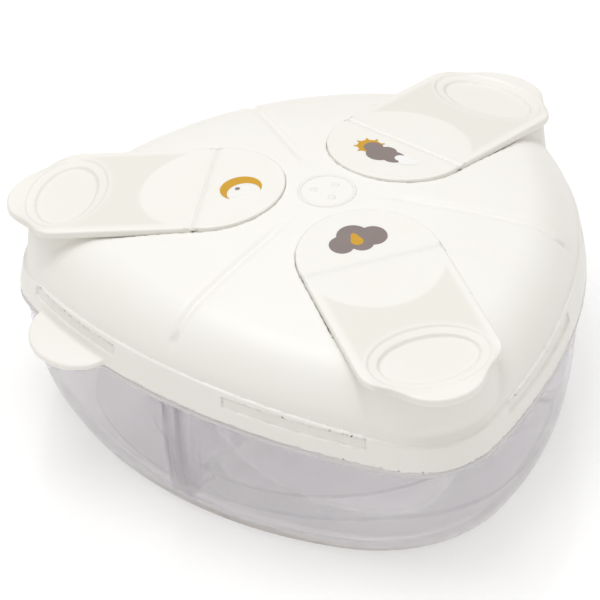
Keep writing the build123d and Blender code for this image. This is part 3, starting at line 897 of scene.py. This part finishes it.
def make_emblem():
    """Raised ring with three pips in the middle of the dome."""
    def skin(reach):
        return DOME_TOP - DOME_RADIUS + math.sqrt(DOME_RADIUS**2 - reach**2)

    points, faces = [], []
    for i in range(RING_SEGMENTS):
        angle = 2 * math.pi * i / RING_SEGMENTS
        for j in range(RING_SIDES):
            tilt = 2 * math.pi * j / RING_SIDES
            reach = EMBLEM_REACH + EMBLEM_HALF_WIDTH * math.cos(tilt)
            rise = EMBLEM_RISE * math.sin(tilt)
            points.append((reach * math.cos(angle), reach * math.sin(angle), skin(reach) + rise))
    for i in range(RING_SEGMENTS):
        for j in range(RING_SIDES):
            a, b = i * RING_SIDES, (i + 1) % RING_SEGMENTS * RING_SIDES
            k = (j + 1) % RING_SIDES
            faces.append((a + j, b + j, b + k, a + k))
    for direction in CORNERS.values():
        centre = turned([(PIP_CIRCLE, 0, 0)], direction)[0]
        first = len(points)
        for ring in range(PIP_RINGS):
            tilt = math.pi / 2 * ring / (PIP_RINGS - 1)
            r = PIP_RADIUS * math.cos(tilt) + PIP_TOP_RADIUS
            z = skin(PIP_CIRCLE) - PIP_SINK + PIP_HEIGHT * math.sin(tilt)
            for i in range(PIP_SEGMENTS):
                angle = 2 * math.pi * i / PIP_SEGMENTS
                points.append((centre[0] + r * math.cos(angle), centre[1] + r * math.sin(angle), z))
        for ring in range(PIP_RINGS - 1):
            a = first + ring * PIP_SEGMENTS
            b = a + PIP_SEGMENTS
            for i in range(PIP_SEGMENTS):
                j = (i + 1) % PIP_SEGMENTS
                faces.append((a + i, a + j, b + j, b + i))
        last = first + (PIP_RINGS - 1) * PIP_SEGMENTS
        faces.append(tuple(first + i for i in range(PIP_SEGMENTS - 1, -1, -1)))
        faces.append(tuple(last + i for i in range(PIP_SEGMENTS)))
    emblem = mesh_object("emblem", points, faces)
    emblem.data.materials.append(ivory)
    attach(emblem, "lid")


make_lid()
make_caps()
make_bowl()
make_guides()
make_webs()
make_prints()
make_emblem()
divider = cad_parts["divider"]
divider.data.materials.clear()
divider.data.materials.append(clear_divider)


# ---------------------------------------------------------------- stage

CAMERA_AZIMUTH, CAMERA_ELEVATION = math.radians(-20.4), math.radians(35.27)
CAMERA_ROLL, CAMERA_LENS = math.radians(-1.71), 223.1
CAMERA_DISTANCE, CAMERA_TARGET_Z = 892.2, 29.15
CAMERA_ASIDE, CAMERA_BELOW = 7.11, 1.49  # where it aims, to the left of its target and below it
FLOOR_HALF, FLOOR_Z = 3.0, -0.0003  # metres


def right_and_up(back):
    """A level camera's own right and up, from the direction of its back."""
    right = Vector((0, 0, 1)).cross(back).normalized()
    return right, back.cross(right)


def make_camera():
    target = Vector((0, 0, CAMERA_TARGET_Z))
    back = Vector((
        math.sin(CAMERA_AZIMUTH) * math.cos(CAMERA_ELEVATION),
        -math.cos(CAMERA_AZIMUTH) * math.cos(CAMERA_ELEVATION),
        math.sin(CAMERA_ELEVATION),
    ))
    place = target + back * CAMERA_DISTANCE
    right, up = right_and_up(back)
    aim = target - right * CAMERA_ASIDE - up * CAMERA_BELOW
    back = (place - aim).normalized()
    right, up = right_and_up(back)
    side = right * math.cos(CAMERA_ROLL) + up * math.sin(CAMERA_ROLL)
    top = up * math.cos(CAMERA_ROLL) - right * math.sin(CAMERA_ROLL)
    camera = bpy.data.objects.new("camera", bpy.data.cameras.new("camera"))
    camera.data.sensor_width = 36
    camera.data.lens = CAMERA_LENS
    camera.data.clip_end = 10
    matrix = Matrix((side, top, back)).transposed().to_4x4()
    matrix.translation = place * MM
    camera.matrix_world = matrix
    bpy.context.collection.objects.link(camera)
    bpy.context.scene.camera = camera


def area_light(name, place, size, power):
    """White light aimed at the object. Place and size are metres, power is watts."""
    light = bpy.data.lights.new(name, "AREA")
    light.shape = "RECTANGLE"
    light.size, light.size_y = size
    light.energy = power
    lamp = bpy.data.objects.new(name, light)
    lamp.location = place
    lamp.rotation_euler = (-Vector(place)).to_track_quat("-Z", "Y").to_euler()
    bpy.context.collection.objects.link(lamp)


def make_stage():
    floor_mesh = bpy.data.meshes.new("floor")
    sides = ((-1, -1), (1, -1), (1, 1), (-1, 1))
    corners = [(x * FLOOR_HALF, y * FLOOR_HALF, FLOOR_Z) for x, y in sides]
    floor_mesh.from_pydata(corners, [], [(0, 1, 2, 3)])
    floor = bpy.data.objects.new("floor", floor_mesh)
    bpy.context.collection.objects.link(floor)
    paper = material("floor", (0.62, 0.62, 0.62), (0.6, 0.6, 0.6), (0.05, 0.09), 300, 0.0)
    shader = paper.node_tree.nodes["Principled BSDF"]
    shader.inputs["Specular IOR Level"].default_value = 0.9
    shader.inputs["Emission Color"].default_value = (1, 1, 1, 1)
    shader.inputs["Emission Strength"].default_value = 0.44
    floor_mesh.materials.append(paper)
    world = bpy.data.worlds.new("studio")
    world.use_nodes = True
    nodes, links = world.node_tree.nodes, world.node_tree.links
    place = nodes.new("ShaderNodeTexCoord")
    split = nodes.new("ShaderNodeSeparateXYZ")
    ramp = nodes.new("ShaderNodeValToRGB")
    ramp.color_ramp.elements[0].position = 0.0
    ramp.color_ramp.elements[0].color = (0.3, 0.255, 0.18, 1)
    ramp.color_ramp.elements[1].position = 0.75
    ramp.color_ramp.elements[1].color = (0.85, 0.85, 0.85, 1)
    links.new(place.outputs["Generated"], split.inputs["Vector"])
    links.new(split.outputs["Z"], ramp.inputs["Fac"])
    links.new(ramp.outputs["Color"], nodes["Background"].inputs["Color"])
    nodes["Background"].inputs["Strength"].default_value = 1.0
    bpy.context.scene.world = world
    area_light("key", (-0.15, 0.15, 1.15), (0.7, 0.7), 4.6)
    area_light("fill", (0.8, -0.5, 0.6), (0.6, 0.6), 0.2)
    bpy.context.scene.view_settings.view_transform = "Standard"
    # Light passes many clear walls between the bowl's far side and the camera.
    paths = bpy.context.scene.cycles
    paths.max_bounces = paths.transmission_bounces = paths.transparent_max_bounces = 24


make_camera()
make_stage()
